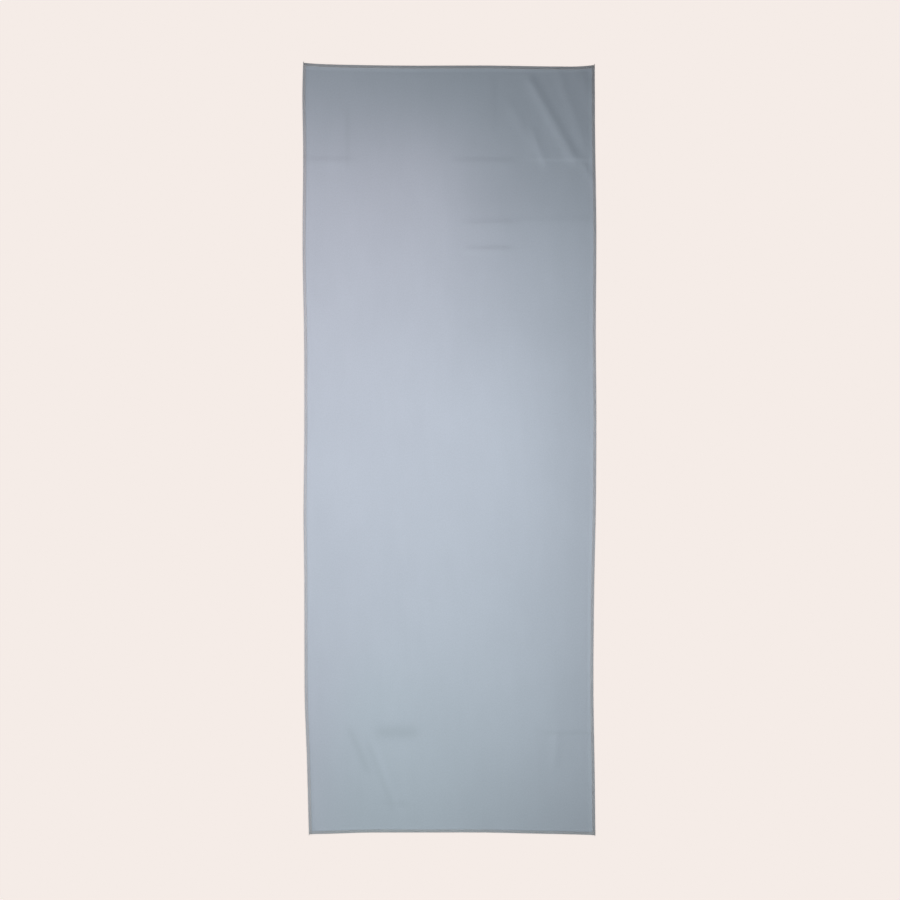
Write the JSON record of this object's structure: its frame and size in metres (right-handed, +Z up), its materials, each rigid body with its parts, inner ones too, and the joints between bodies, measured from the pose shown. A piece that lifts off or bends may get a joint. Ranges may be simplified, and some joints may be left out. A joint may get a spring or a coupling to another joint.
{
  "type": "quick dry towel",
  "caption": "Thin rectangular microfibre towel with an overlocked edge, laid out flat; its ends fold in to the middle and it then folds in half.",
  "frame": {"origin": "on the surface that the towel lies on, under the middle of its outline", "axes": "+Y along the long side towards the top end, +X to the right across the width, +Z up out of the used face"},
  "size_m": [0.4064, 1.0705, 0.0019],
  "materials": {
    "cloth": "slate blue-grey brushed microfibre knit, matte",
    "looper_thread": "grey textured overlock thread, matte",
    "needle_thread": "grey spun sewing thread, slight sheen"
  },
  "bodies": {
    "bottom_quarter": {"cloth_bottom": "cloth", "left_loopers_bottom": "looper_thread", "left_needle_thread_bottom": "needle_thread", "right_loopers_bottom": "looper_thread", "right_needle_thread_bottom": "needle_thread", "end_loopers_bottom": "looper_thread", "end_needle_thread_bottom": "needle_thread", "thread_tail_bottom_left": "looper_thread", "thread_tail_bottom_right": "looper_thread"},
    "lower_quarter": {"cloth_lower": "cloth", "left_loopers_lower": "looper_thread", "left_needle_thread_lower": "needle_thread", "right_loopers_lower": "looper_thread", "right_needle_thread_lower": "needle_thread"},
    "upper_quarter": {"cloth_upper": "cloth", "left_loopers_upper": "looper_thread", "left_needle_thread_upper": "needle_thread", "right_loopers_upper": "looper_thread", "right_needle_thread_upper": "needle_thread"},
    "top_quarter": {"cloth_top": "cloth", "left_loopers_top": "looper_thread", "left_needle_thread_top": "needle_thread", "right_loopers_top": "looper_thread", "right_needle_thread_top": "needle_thread", "end_loopers_top": "looper_thread", "end_needle_thread_top": "needle_thread", "thread_tail_top_left": "looper_thread", "thread_tail_top_right": "looper_thread"}
  },
  "joints": [
    {"name": "half_fold", "type": "hinge", "parent": "lower_quarter", "child": "upper_quarter", "pos_m": [0, 0, 0.0071], "axis": [1, 0, 0], "range_deg": [0, 180]},
    {"name": "top_end_fold", "type": "hinge", "parent": "upper_quarter", "child": "top_quarter", "pos_m": [0, 0.2692, 0.003], "axis": [1, 0, 0], "range_deg": [0, 180]},
    {"name": "bottom_end_fold", "type": "hinge", "parent": "lower_quarter", "child": "bottom_quarter", "pos_m": [0, -0.2692, 0.003], "axis": [-1, 0, 0], "range_deg": [0, 180]}
  ]
}
